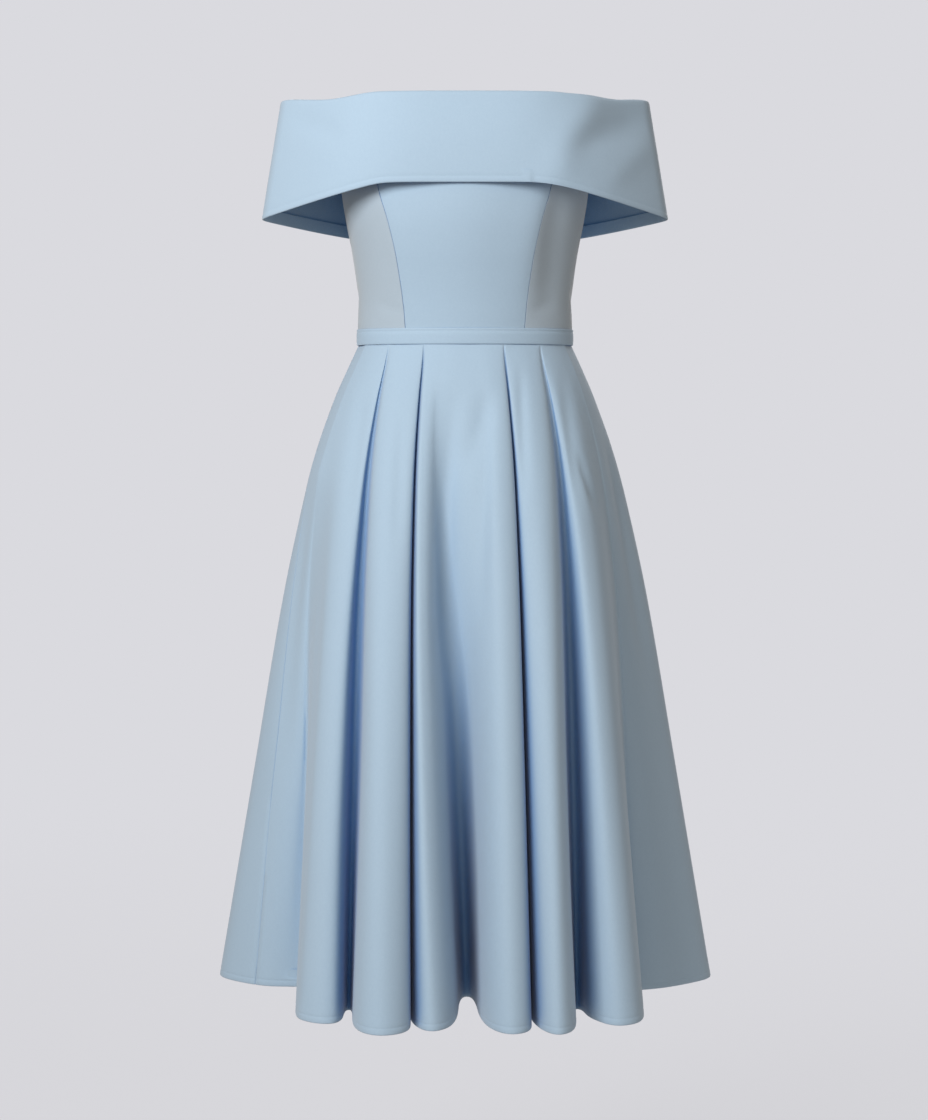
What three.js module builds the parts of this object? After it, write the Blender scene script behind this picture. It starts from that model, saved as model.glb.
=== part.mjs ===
// An off-the-shoulder midi dress with a fold-over collar, a princess-seamed bodice, a waistband and a
// full skirt with unpressed pleats. It keeps the shape it has when worn, with nothing inside it.
// Millimetres, +Z up, the front facing -Y, so +X is the wearer's left. The origin is the middle of the
// waist, half way up the waistband. Sizes come from a 68 cm waist.
import * as THREE from "three";

// Cloth and seams.
const seamGap = 0.3;
const skirtCloth = 1.5;
const bodiceCloth = 2;
const waistbandCloth = 2.6;
const cornerLimit = 0.85;
const collarCloth = 1.8;
const dustyBlue = 0xbdd1e3;

// Waistband: a flat strip, a little proud of the cloth above and below it.
const waistband = { halfWidth: 124.7, front: 92.2, back: 84.2, height: 18 };

// Collar: half sizes at its top and lower edges, the height of the top edge, which dips a little where
// it turns from the chest to each arm, and the turned-in rim, where the folded cloth is thickest.
const collarTop = { halfWidth: 211, front: 113, back: 102, height: 269.5 };
const collarEdge = { halfWidth: 233.5, front: 121, back: 118 };
const collarDip = { depth: 5, at: 152, reach: 58 };
const collarRim = { depth: 22, thickness: 5, step: 0.3 };
const collarBulge = 3;

// Collar: the lower edge's height at the arms, then how fast and how far it climbs towards the middle
// in front and falls towards the middle behind, and how softly it levels out.
const collarTip = 134.8;
const collarClimb = { slope: 0.24, most: 33.5, softness: 1.5 };
const collarFall = { slope: -0.18, most: -26, softness: 8 };

// Collar plan: steering places from the middle of the front round the wearer's left arm to the middle
// of the back, as shares of the half width and of the front or back depth.
const collarPlan = [
  { across: 0.14, ahead: 1 },
  { across: 0.29, ahead: 0.99 },
  { across: 0.42, ahead: 0.955 },
  { across: 0.535, ahead: 0.885 },
  { across: 0.65, ahead: 0.765 },
  { across: 0.78, ahead: 0.565 },
  { across: 0.915, ahead: 0.32 },
  { across: 1, ahead: 0.14 },
  { across: 1, ahead: -0.14 },
  { across: 0.92, ahead: -0.31 },
  { across: 0.79, ahead: -0.55 },
  { across: 0.66, ahead: -0.75 },
  { across: 0.52, ahead: -0.9 },
  { across: 0.34, ahead: -0.985 },
  { across: 0.12, ahead: -1 },
];

// Bodice sections: height above the waist, half sizes, how square the plan is (1 is an ellipse, less
// is flatter in front and behind), how far the princess seam is from the middle, and how far it stands
// out as a soft ridge.
const bodiceSections = [
  { height: 9.3, halfWidth: 123.5, front: 91, back: 83, flat: 1, princess: 67, ridge: 0.5 },
  { height: 42, halfWidth: 122.8, front: 96, back: 87, flat: 0.95, princess: 70, ridge: 2 },
  { height: 70, halfWidth: 125.6, front: 102, back: 91, flat: 0.9, princess: 74, ridge: 3.2 },
  { height: 98, halfWidth: 129.8, front: 109, back: 95, flat: 0.85, princess: 79, ridge: 4 },
  { height: 130, halfWidth: 136, front: 115, back: 98, flat: 0.79, princess: 87, ridge: 4 },
  { height: 161, halfWidth: 140.8, front: 116.5, back: 99.5, flat: 0.73, princess: 96, ridge: 2.8 },
  { height: 200, halfWidth: 144, front: 114, back: 99.5, flat: 0.66, princess: 103, ridge: 1 },
  { height: 252, halfWidth: 147, front: 111, back: 99, flat: 0.6, princess: 107, ridge: 0 },
];
const bodiceColumns = { side: 8, centre: 14, back: 14 };
const bodiceSteps = 8;
const ridgeWidth = 28;
const underarm = 196;
const joinedFrom = 200;

// Skirt sections: how far below the waistband, and the half sizes there.
const skirtSections = [
  { drop: 0, halfWidth: 123.5, front: 91, back: 83 },
  { drop: 30, halfWidth: 137.5, front: 104, back: 98 },
  { drop: 60, halfWidth: 151, front: 117, back: 113 },
  { drop: 118, halfWidth: 172, front: 140, back: 137 },
  { drop: 176, halfWidth: 188, front: 159, back: 155 },
  { drop: 291, halfWidth: 213, front: 190, back: 185 },
  { drop: 465, halfWidth: 242.5, front: 228, back: 220 },
  { drop: 734, halfWidth: 287, front: 278, back: 266 },
];
const skirtDrops = [0, 12, 30, 58, 96, 145, 205, 280, 370, 475, 600, 734];
const skirtLength = skirtDrops.at(-1);
const closedAtWaist = 0.3;

// Skirt folds, from the wearer's right side across the front to the left side, then across the back.
// Each row is one flute and the valley after it. Columns left, ridge, right and valley are steering
// places at the hem, [x, forward], and gap is half the valley's width. waistDeg gives the same four
// places as degrees round the waist from centre front. Start is the share of the skirt's length above
// which the valley has not begun, ease says how soon it swings to its place at the hem, grow how soon it
// deepens, and open is how many degrees its lips stand apart, half way down, beyond a straight run.
// A soft valley gives its own half width round the waist, in degrees, as closedDeg.
const folds = [
  { name: "right side", left: [-246, -62], ridge: [-302, -4], right: [-240, 58], valley: [-184, 62],
    gap: 8, waistDeg: [-112, -98, -86, -66], start: 0.2, ease: 0.5, grow: 0.85, open: 0 },
  { name: "front 1", left: [-192, 206], ridge: [-161, 242], right: [-133, 238], valley: [-128, 176],
    gap: 4, waistDeg: [-63, -55, -45.4, -44.6], start: 0, ease: 0.5, grow: 0.65, open: 1.8 },
  { name: "front 2", left: [-121, 268], ridge: [-90, 300], right: [-53, 272], valley: [-66, 190],
    gap: 1.5, waistDeg: [-43.8, -33, -22.8, -22.1], start: 0, ease: 0.55, grow: 0.6, open: 0 },
  { name: "front 3", left: [-53.5, 259], ridge: [-32, 280], right: [-8, 242], valley: [2, 112],
    gap: 8, waistDeg: [-21.4, -18.6, -15.6, -9.4], start: 0.06, ease: 1, grow: 0.8, open: 0,
    closedDeg: 3.2 },
  { name: "front 4", left: [17, 242], ridge: [44, 294], right: [76, 272], valley: [66, 190],
    gap: 1.5, waistDeg: [7.5, 13.5, 20.3, 21], start: 0, ease: 0.42, grow: 0.6, open: 0 },
  { name: "front 5", left: [77, 260], ridge: [98, 296], right: [121, 268], valley: [124, 172],
    gap: 4, waistDeg: [21.7, 33, 43, 44.1], start: 0, ease: 0.45, grow: 0.65, open: 1.7 },
  { name: "front 6", left: [135, 216], ridge: [164, 258], right: [202, 222], valley: [192, 80],
    gap: 7, waistDeg: [45.2, 54, 62, 66], start: 0.04, ease: 0.33, grow: 0.85, open: 0 },
  { name: "left side", left: [240, 62], ridge: [302, 4], right: [246, -58], valley: [188, -78],
    gap: 7, waistDeg: [86, 98, 110, 114], start: 0.1, ease: 0.5, grow: 0.85, open: 0 },
  { name: "back 1", left: [192, -170], ridge: [168, -222], right: [138, -232], valley: [128, -168],
    gap: 4, waistDeg: [118, 126, 135.2, 136], start: 0, ease: 0.6, grow: 0.65, open: 0.8 },
  { name: "back 2", left: [122, -246], ridge: [92, -278], right: [57, -266], valley: [68, -190],
    gap: 2.5, waistDeg: [136.8, 147, 157.3, 158], start: 0, ease: 0.45, grow: 0.6, open: 0.3 },
  { name: "centre back", left: [54.5, -256], ridge: [0, -288], right: [-52, -266], valley: [-64, -190],
    gap: 2.5, waistDeg: [158.7, 180, 201.3, 202], start: 0, ease: 0.45, grow: 0.6, open: 0.3 },
  { name: "back 3", left: [-57, -256], ridge: [-94, -282], right: [-120, -250], valley: [-127, -172],
    gap: 4, waistDeg: [202.7, 213, 223.3, 224], start: 0, ease: 0.55, grow: 0.65, open: 0.7 },
  { name: "back 4", left: [-136, -234], ridge: [-166, -218], right: [-192, -160], valley: [-186, -82],
    gap: 7, waistDeg: [224.7, 234, 242, 246], start: 0.05, ease: 0.55, grow: 0.85, open: 0 },
];

// Zip: the strip of tape and teeth, and how many of the skirt's rows it passes.
const zip = { width: 24, thickness: 1.2, skirtRows: 7 };

const radians = (degrees) => (degrees * Math.PI) / 180;
const mix = (a, b, t) => a + (b - a) * t;
const clamp01 = (t) => Math.min(1, Math.max(0, t));
const smooth = (t) => clamp01(t) ** 2 * (3 - 2 * clamp01(t));

// The value of a table's column at a place along its key column, on a smooth curve through the rows.
function along(table, key, column, at) {
  const last = table.length - 2;
  const next = table.findIndex((row) => row[key] > at);
  const row = next < 0 ? last : Math.max(0, next - 1);
  const slope = (n) => {
    const a = table[Math.max(0, n - 1)];
    const b = table[Math.min(last + 1, n + 1)];
    return (b[column] - a[column]) / (b[key] - a[key]);
  };
  const [a, b] = [table[row], table[row + 1]];
  const span = b[key] - a[key];
  const t = clamp01((at - a[key]) / span);
  const ends = mix(a[column], b[column], smooth(t));
  return ends + span * t * (1 - t) * (slope(row) * (1 - t) - slope(row + 1) * t);
}

// A point of a ring: angle from centre front, half sizes, height and squareness.
function ringPoint(angle, ring, height, flat = 1) {
  const cos = Math.cos(angle);
  const depth = cos > 0 ? ring.front : ring.back;
  const y = -depth * Math.sign(cos) * Math.abs(cos) ** flat;
  return new THREE.Vector3(ring.halfWidth * Math.sin(angle), y, height);
}

// A closed row on a smooth curve that leaves each side of a steering polygon at its middle, with two
// points for each corner. The first point is the middle of the side before the first corner.
function softRow(corners, pointAt) {
  const n = corners.length;
  return corners.flatMap(([u, v], i) => {
    const [u0, v0] = corners[(i + n - 1) % n];
    const [u1, v1] = corners[(i + 1) % n];
    return [
      pointAt((u0 + u) / 2, (v0 + v) / 2),
      pointAt((u0 + 6 * u + u1) / 8, (v0 + 6 * v + v1) / 8),
    ];
  });
}

// Each point of a closed row moved square to the row, in plan, inwards.
function movedIn(row, distance) {
  const n = row.length;
  const wayTo = (a, b) => new THREE.Vector2(b.x - a.x, b.y - a.y).normalize();
  return row.map((p, i) => {
    const ahead = wayTo(p, row[(i + 1) % n]);
    const way = wayTo(row[(i + n - 1) % n], p).add(ahead).normalize();
    const corner = distance / Math.max(cornerLimit, way.dot(ahead));
    return new THREE.Vector3(p.x - way.y * corner, p.y + way.x * corner, p.z);
  });
}

// The same row with its two ends drawn back by half a seam gap.
function trimmed(row) {
  const drawnBack = (end, next) => end.clone().lerp(next, seamGap / 2 / end.distanceTo(next));
  return [drawnBack(row[0], row[1]), ...row.slice(1, -1), drawnBack(row.at(-1), row.at(-2))];
}

// A closed wall between an outer and an inner sheet: rows from top to bottom, points anticlockwise
// seen from above.
function wallGeometry(outer, inner) {
  const [rows, columns] = [outer.length, outer[0].length];
  const o = (r, c) => r * columns + c;
  const i = (r, c) => (rows + r) * columns + c;
  const faces = [];
  const quad = (a, b, c, d) => faces.push(a, b, c, a, c, d);
  for (let r = 0; r < rows - 1; r++) {
    for (let c = 0; c < columns - 1; c++) {
      quad(o(r, c), o(r + 1, c), o(r + 1, c + 1), o(r, c + 1));
      quad(i(r, c), i(r, c + 1), i(r + 1, c + 1), i(r + 1, c));
    }
    quad(o(r, 0), i(r, 0), i(r + 1, 0), o(r + 1, 0));
    quad(o(r, columns - 1), o(r + 1, columns - 1), i(r + 1, columns - 1), i(r, columns - 1));
  }
  for (let c = 0; c < columns - 1; c++) {
    quad(o(0, c), o(0, c + 1), i(0, c + 1), i(0, c));
    quad(o(rows - 1, c), i(rows - 1, c), i(rows - 1, c + 1), o(rows - 1, c + 1));
  }
  const geometry = new THREE.BufferGeometry().setFromPoints([...outer.flat(), ...inner.flat()]);
  geometry.setIndex(faces);
  geometry.computeVertexNormals();
  return geometry;
}

const dress = new THREE.Group();
dress.name = "dress";

function addPiece(name, geometry) {
  const cloth = new THREE.MeshStandardMaterial({ color: dustyBlue, roughness: 0.7, metalness: 0 });
  const mesh = new THREE.Mesh(geometry, cloth);
  mesh.name = name;
  dress.add(mesh);
}

// The panels of a tube: closed rows of its outer face, the cloth's thickness at each row, and the
// columns where each panel starts and ends.
function addPanels(outer, thickness, panels) {
  const inner = outer.map((row, i) => movedIn(row, thickness[i]));
  const count = outer[0].length;
  for (const { name, from, to } of panels) {
    const length = ((to - from + count) % count) + 1;
    const cut = (rows) =>
      rows.map((row) => trimmed(Array.from({ length }, (_, i) => row[(from + i) % count])));
    addPiece(name, wallGeometry(cut(outer), cut(inner)));
  }
}

// Collar: the heights of the top edge and of the lower edge at a place.
function collarTopHeight(x, y) {
  const near = 1 - Math.abs(Math.abs(x) - collarDip.at) / collarDip.reach;
  return collarTop.height - (y < 0 ? collarDip.depth * smooth(near) : 0);
}

function collarEdgeHeight(x, y) {
  const { slope, most, softness } = y < 0 ? collarClimb : collarFall;
  const spare = (inward) => {
    const left = (Math.abs(most) - Math.abs(slope) * inward) / softness;
    return Math.abs(most) - softness * Math.log1p(Math.exp(left));
  };
  return collarTip + Math.sign(slope) * (spare(collarEdge.halfWidth - Math.abs(x)) - spare(0));
}

// Collar: a point of the outer face for a place in the plan, level 1 at the top edge and 0 below.
function collarPoint(across, ahead, level) {
  const at = (ring) => {
    const depth = ahead > 0 ? ring.front : ring.back;
    return new THREE.Vector3(ring.halfWidth * across, -depth * ahead, 0);
  };
  const [top, edge] = [at(collarTop), at(collarEdge)];
  top.z = collarTopHeight(top.x, top.y);
  edge.z = collarEdgeHeight(edge.x, edge.y);
  const point = edge.lerp(top, level);
  point.y -= collarBulge * Math.sin(Math.PI * level) * ahead;
  return point;
}

const collarCorners = [
  ...collarPlan.map(({ across, ahead }) => [across, ahead]),
  ...collarPlan.map(({ across, ahead }) => [-across, ahead]).reverse(),
];

// Collar: a closed row, at a level that may depend on how tall the collar is at each place.
const collarRow = (levelAt) =>
  softRow(collarCorners, (across, ahead) => {
    const tall = collarPoint(across, ahead, 1).z - collarPoint(across, ahead, 0).z;
    return collarPoint(across, ahead, levelAt(tall));
  });

function addCollar() {
  const rim = (tall) => 1 - collarRim.depth / tall;
  const step = (tall) => rim(tall) - collarRim.step / tall;
  const rows = [
    { levelAt: () => 1, thickness: collarRim.thickness },
    { levelAt: rim, thickness: collarRim.thickness },
    ...[1, 0.75, 0.5, 0.25, 0].map((share) => ({
      levelAt: (tall) => share * step(tall),
      thickness: collarCloth,
    })),
  ];
  const half = collarPlan.findIndex(({ ahead }) => ahead < 0) * 2;
  const back = collarPlan.length * 2;
  const round = collarCorners.length * 2;
  addPanels(rows.map(({ levelAt }) => collarRow(levelAt)), rows.map(({ thickness }) => thickness), [
    { name: "collar_front", from: round - half, to: half },
    { name: "collar_back_left", from: half, to: back },
    { name: "collar_back_right", from: back, to: round - half },
  ]);
}

// Bodice: a point of the ring at a height, by column. Columns run from the wearer's right side seam
// across the front to the left side seam and then across the back.
function bodicePoint(column, height) {
  const at = (name) => along(bodiceSections, "height", name, height);
  const princess = Math.asin(at("princess") / at("halfWidth"));
  const { side, centre, back } = bodiceColumns;
  const spans = [
    { columns: side, from: -Math.PI / 2, to: -princess },
    { columns: centre, from: -princess, to: princess },
    { columns: side, from: princess, to: Math.PI / 2 },
    { columns: back * 2, from: Math.PI / 2, to: (Math.PI * 3) / 2 },
  ];
  let left = column;
  const span = spans.find(({ columns }) => left <= columns || ((left -= columns), false));
  const angle = mix(span.from, span.to, left / span.columns);
  const ring = { halfWidth: at("halfWidth"), front: at("front"), back: at("back") };
  const point = ringPoint(angle, ring, height, at("flat"));
  const aside = (Math.abs(point.x) - at("princess")) / ridgeWidth;
  point.y -= Math.cos(angle) > 0 ? at("ridge") * Math.exp(-(aside ** 2)) : 0;
  return point;
}

// Bodice: how far a column is from the side seams, 0 there and 1 where the top edge joins the collar.
function awayFromSide(column) {
  const { side, centre, back } = bodiceColumns;
  const leftSide = side * 2 + centre;
  const round = leftSide + back * 2;
  return column < leftSide
    ? clamp01(Math.min(column, leftSide - column) / side)
    : clamp01(Math.min(column - leftSide, round - column) / (back * 0.45));
}

// Where a stretch of a row, which runs across the body, is at a place across.
function yAt(stretch, x) {
  const sorted = stretch.toSorted((a, b) => a.x - b.x);
  const next = sorted.findIndex((p) => p.x > x);
  const [a, b] = [sorted[next - 1], sorted[next]];
  return mix(a.y, b.y, (x - a.x) / (b.x - a.x));
}

// Bodice: its rows from top to bottom. The top edge sits under the collar's rim, close behind the
// hanging part, and falls away to the underarm at each side.
function makeBodiceRows() {
  const { side, centre, back } = bodiceColumns;
  const round = side * 2 + centre + back * 2;
  const hanging = movedIn(
    collarRow((tall) => 1 - (collarRim.depth + collarRim.step) / tall),
    collarCloth + seamGap,
  );
  const base = waistband.height / 2 + seamGap;
  const columns = Array.from({ length: round }, (_, column) => {
    const high = bodicePoint(column, bodiceSections.at(-1).height);
    const joined = smooth(awayFromSide(column));
    const underRim = collarTopHeight(high.x, high.y) - collarRim.depth - collarRim.step - seamGap;
    const top = mix(underarm, underRim, joined);
    const facing = hanging.filter((p) => p.y > 0 === high.y > 0);
    const moved = joined * (yAt(facing, high.x) - high.y);
    return Array.from({ length: bodiceSteps + 1 }, (_, row) => {
      const point = bodicePoint(column, mix(top, base, row / bodiceSteps));
      point.y += moved * smooth((point.z - joinedFrom) / (underRim - joinedFrom));
      return point;
    });
  });
  return columns[0].map((_, row) => columns.map((column) => column[row]));
}

function addBodice(rows) {
  const { side, centre, back } = bodiceColumns;
  addPanels(rows, rows.map(() => bodiceCloth), [
    { name: "bodice_side_front_right", from: 0, to: side },
    { name: "bodice_centre_front", from: side, to: side + centre },
    { name: "bodice_side_front_left", from: side + centre, to: side * 2 + centre },
    { name: "bodice_back_left", from: side * 2 + centre, to: side * 2 + centre + back },
    { name: "bodice_back_right", from: side * 2 + centre + back, to: 0 },
  ]);
}

function addWaistband() {
  const count = 72;
  const rows = [waistband.height / 2, -waistband.height / 2].map((height) =>
    Array.from({ length: count }, (_, i) =>
      ringPoint(radians(mix(-90, 270, i / count)), waistband, height),
    ),
  );
  addPanels(rows, [waistbandCloth, waistbandCloth], [
    { name: "waistband_front", from: 0, to: count / 2 },
    { name: "waistband_back_left", from: count / 2, to: (count * 3) / 4 },
    { name: "waistband_back_right", from: (count * 3) / 4, to: 0 },
  ]);
}

// Skirt: the corners of one section's steering polygon, as shares of the section's half sizes. Each
// moves from its place round the waist to its place at the hem.
function foldCorners(share) {
  const hem = skirtSections.at(-1);
  return folds.flatMap((fold, index) => {
    const before = folds.at(index - 1);
    const [leftDeg, ridgeDeg, rightDeg, valleyDeg] = fold.waistDeg;
    const [x, forward] = fold.valley;
    const half = fold.gap * Math.sign(fold.right[1]);
    const closed = fold.closedDeg ?? closedAtWaist;
    const stations = [
      { place: fold.left, waistDeg: leftDeg, valley: before, lip: 1 },
      { place: fold.ridge, waistDeg: ridgeDeg, valley: fold, lip: 0 },
      { place: fold.right, waistDeg: rightDeg, valley: fold, lip: -1 },
      { place: [x - half, forward], waistDeg: valleyDeg - closed, valley: fold, lip: -0.5 },
      { place: [x + half, forward], waistDeg: valleyDeg + closed, valley: fold, lip: 0.5 },
    ];
    return stations.map(({ place, waistDeg, valley, lip }) => {
      const across = place[0] / hem.halfWidth;
      const ahead = place[1] / (place[1] > 0 ? hem.front : hem.back);
      const turned = (Math.atan2(across, ahead) * 180) / Math.PI;
      const hemDeg = turned < waistDeg - 180 ? turned + 360 : turned;
      const opened = lip * valley.open * Math.sin(Math.PI * share);
      const angle = radians(mix(waistDeg, hemDeg, share ** valley.ease) + opened);
      const growth = clamp01((share - valley.start) / (1 - valley.start)) ** valley.grow;
      const radius = mix(1, Math.hypot(across, ahead), growth);
      return [radius * Math.sin(angle), radius * Math.cos(angle)];
    });
  });
}

function skirtRow(drop) {
  const at = (name) => along(skirtSections, "drop", name, drop);
  const [halfWidth, front, back] = ["halfWidth", "front", "back"].map(at);
  const height = -waistband.height / 2 - seamGap - drop;
  return softRow(foldCorners(drop / skirtLength), (across, ahead) => {
    const depth = ahead > 0 ? front : back;
    return new THREE.Vector3(halfWidth * across, -depth * ahead, height);
  });
}

// Skirt: the side seams and the centre back seam each follow one steering place.
function seamColumn(foldName, place) {
  const fold = folds.findIndex(({ name }) => name === foldName);
  const places = ["left", "ridge", "right", "valley in", "valley out"];
  return (fold * places.length + places.indexOf(place)) * 2 + 1;
}

const skirtSeams = {
  right: seamColumn("right side", "right"),
  left: seamColumn("left side", "ridge"),
  back: seamColumn("centre back", "ridge"),
};

function addSkirt(rows) {
  const { right, left, back } = skirtSeams;
  addPanels(rows, rows.map(() => skirtCloth), [
    { name: "skirt_front", from: right, to: left },
    { name: "skirt_back_left", from: left, to: back },
    { name: "skirt_back_right", from: back, to: right },
  ]);
}

// Zip: a closed strip inside the centre back seam, from the top of the bodice over the waist to the
// hip.
function addZip(bodiceRows, skirtRows) {
  const middle = bodiceColumns.side * 2 + bodiceColumns.centre + bodiceColumns.back;
  const behind = (row, column, cloth) => {
    const face = movedIn(row, cloth + seamGap).slice(column - 2, column + 3);
    return [zip.width / 2, 0, -zip.width / 2].map(
      (x) => new THREE.Vector3(x, yAt(face, x), row[column].z),
    );
  };
  const outer = [
    ...bodiceRows.map((row) => behind(row, middle, bodiceCloth)),
    ...skirtRows.slice(0, zip.skirtRows).map((row) => behind(row, skirtSeams.back, skirtCloth)),
  ];
  const inner = outer.map((row) => row.map(({ x, y, z }) => new THREE.Vector3(x, y - zip.thickness, z)));
  addPiece("zip", wallGeometry(outer, inner));
}

const bodiceRows = makeBodiceRows();
const skirtRows = skirtDrops.map(skirtRow);
addCollar();
addBodice(bodiceRows);
addWaistband();
addSkirt(skirtRows);
addZip(bodiceRows, skirtRows);

export default dress;
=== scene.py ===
import math

import bpy
import numpy as np
from mathutils import Matrix, Vector


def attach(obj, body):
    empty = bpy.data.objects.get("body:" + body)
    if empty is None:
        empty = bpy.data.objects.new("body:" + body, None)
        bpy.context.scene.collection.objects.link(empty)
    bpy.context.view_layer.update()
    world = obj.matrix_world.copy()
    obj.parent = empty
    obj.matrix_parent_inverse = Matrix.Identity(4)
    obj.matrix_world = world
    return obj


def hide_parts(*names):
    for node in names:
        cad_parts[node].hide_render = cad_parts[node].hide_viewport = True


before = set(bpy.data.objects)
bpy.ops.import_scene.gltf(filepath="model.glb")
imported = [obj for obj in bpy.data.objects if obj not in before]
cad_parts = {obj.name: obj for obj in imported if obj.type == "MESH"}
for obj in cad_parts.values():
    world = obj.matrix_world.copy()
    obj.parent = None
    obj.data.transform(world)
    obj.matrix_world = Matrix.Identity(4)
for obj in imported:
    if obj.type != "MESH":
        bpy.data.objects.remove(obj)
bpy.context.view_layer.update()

# Collar: a wide band of doubled crepe folded over at its top edge, one front and two backs joined at
# the arms. Its lower edge is turned up inside, with a pressed line a few millimetres above it, and the
# inner layer runs down inside the top fold to where the bodice is sewn to it.
# The dress's sizes are in millimetres, and MM turns them to the scene's metres.
MM = 0.001
COLLAR_TOP = dict(half_width=211, front=113, back=102, height=269.5)
COLLAR_EDGE = dict(half_width=233.5, front=121, back=118)
COLLAR_DIP = dict(depth=5, at=152, reach=58)
COLLAR_TIP = 134.8
COLLAR_CLIMB = dict(slope=0.24, most=33.5, softness=1.5)
COLLAR_FALL = dict(slope=-0.18, most=-26, softness=8)
COLLAR_BULGE = 3
COLLAR_CLOTH = 0.9
COLLAR_SEAM = 0.6
COLLAR_HANGING_ROWS = 24
COLLAR_PLAN = [
    dict(across=0.14, ahead=1),
    dict(across=0.29, ahead=0.99),
    dict(across=0.42, ahead=0.955),
    dict(across=0.535, ahead=0.885),
    dict(across=0.65, ahead=0.765),
    dict(across=0.78, ahead=0.565),
    dict(across=0.915, ahead=0.32),
    dict(across=1, ahead=0.14),
    dict(across=1, ahead=-0.14),
    dict(across=0.92, ahead=-0.31),
    dict(across=0.79, ahead=-0.55),
    dict(across=0.66, ahead=-0.75),
    dict(across=0.52, ahead=-0.9),
    dict(across=0.34, ahead=-0.985),
    dict(across=0.12, ahead=-1),
]
COLLAR_SAMPLES = 10
# Each row of the folded sheet: how far down from the top edge or up from the lower edge, and how far
# inside the outer face.
COLLAR_TOP_FOLD = [
    dict(down=22, inside=5),
    dict(down=14, inside=4.9),
    dict(down=7, inside=4.8),
    dict(down=2.6, inside=4.6),
    dict(down=0.9, inside=4.1),
    dict(down=0, inside=2.6),
    dict(down=0.3, inside=1.3),
    dict(down=1.1, inside=0.5),
    dict(down=2.6, inside=0),
]
COLLAR_LOWER_EDGE = [
    dict(up=8.6, inside=0),
    dict(up=7.4, inside=0.22),
    dict(up=6.6, inside=0.28),
    dict(up=5.8, inside=0.14),
    dict(up=4.4, inside=-0.1),
    dict(up=1.4, inside=0),
    dict(up=0.4, inside=0.3),
    dict(up=0, inside=0.95),
    dict(up=0.4, inside=1.6),
    dict(up=1.4, inside=1.9),
    dict(up=14, inside=2.5),
]
# The fold's inner layer ends at its rim, this far below the top edge.
COLLAR_RIM = COLLAR_TOP_FOLD[0]["down"]
COLLAR_CREASES = [
    dict(seen="front", ends=[[168, 320], [78, 130]], width=21, depth=-3.4),
    dict(seen="front", ends=[[224, 255], [104, 192]], width=18, depth=4, bow=4),
    dict(seen="front", ends=[[222, 226], [150, 158]], width=14, depth=-1.6, bow=3),
    dict(seen="front", ends=[[-205, 248], [-128, 214]], width=13, depth=1.4, bow=-3),
    dict(seen="back", ends=[[-206, 248], [-84, 176]], width=16, depth=4.4, bow=-4),
    dict(seen="back", ends=[[200, 244], [108, 186]], width=14, depth=3.4, bow=4),
    dict(seen="back", ends=[[44, 214], [100, 146]], width=12, depth=2.4),
]


def smooth(t):
    """0 below 0, 1 above 1, and an even curve between."""
    t = np.clip(t, 0, 1)
    return t * t * (3 - 2 * t)


def soft_row(corners, samples):
    """A closed curve that leaves each side of a steering polygon at its middle."""
    corners = np.asarray(corners, float)
    start = (np.roll(corners, 1, axis=0) + corners) / 2
    end = (np.roll(corners, -1, axis=0) + corners) / 2
    t = (np.arange(samples) / samples)[None, :, None]
    curve = start[:, None] * (1 - t) ** 2 + corners[:, None] * 2 * t * (1 - t) + end[:, None] * t**2
    return curve.reshape(-1, 2)


def inward(row):
    """For each point of a closed row, the level direction to the inside."""
    ahead = np.roll(row, -1, axis=0)[:, :2] - row[:, :2]
    ahead /= np.maximum(np.linalg.norm(ahead, axis=1, keepdims=True), 1e-9)
    way = ahead + np.roll(ahead, 1, axis=0)
    way /= np.maximum(np.linalg.norm(way, axis=1, keepdims=True), 1e-9)
    return np.stack([-way[:, 1], way[:, 0], np.zeros(len(row))], axis=1)


def outward_normals(rows):
    """The outward direction at each point of a sheet's rows."""
    down = np.gradient(rows, axis=0)
    across = np.gradient(rows, axis=1)
    normal = np.cross(down, across)
    return normal / np.maximum(np.linalg.norm(normal, axis=2, keepdims=True), 1e-9)


# For each side, the axis that runs across the view, and which way along the other axis the eye is.
SEEN_FROM = {"front": (0, -1), "back": (0, 1), "left": (1, 1), "right": (1, -1)}
# A crease fades out over this share of its length at each end, and where the cloth turns away from
# the side that it is seen from, over this much of the turn.
CREASE_FADE = 0.35
TURN_FADE = 0.35


def pressed(rows, creases):
    """The rows with soft troughs and ridges. Each crease is seen from one side: its two ends are
    [across, height] there, bow bends it, and depth is inwards, or outwards where it is negative."""
    rows = rows.copy()
    for crease in creases:
        normals = outward_normals(rows)
        axis, facing = SEEN_FROM[crease["seen"]]
        toward = normals[:, :, 1 - axis] * facing
        (a0, h0), (a1, h1) = crease["ends"]
        run = np.array([a1 - a0, h1 - h0], float)
        length = np.linalg.norm(run)
        offset = np.stack([rows[:, :, axis] - a0, rows[:, :, 2] - h0], axis=2)
        t = offset @ run / length**2
        aside = (offset[:, :, 0] * run[1] - offset[:, :, 1] * run[0]) / length
        aside = aside - crease.get("bow", 0) * 4 * t * (1 - t)
        ends = smooth(t / CREASE_FADE) * smooth((1 - t) / CREASE_FADE)
        weight = np.exp(-((aside / crease["width"]) ** 2)) * ends * smooth(toward / TURN_FADE)
        rows = rows - normals * (weight * crease["depth"])[:, :, None]
    return rows


# A seam's edge starts to roll in at this share of the way to the next column.
EDGE_ROLL = 0.14


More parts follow.
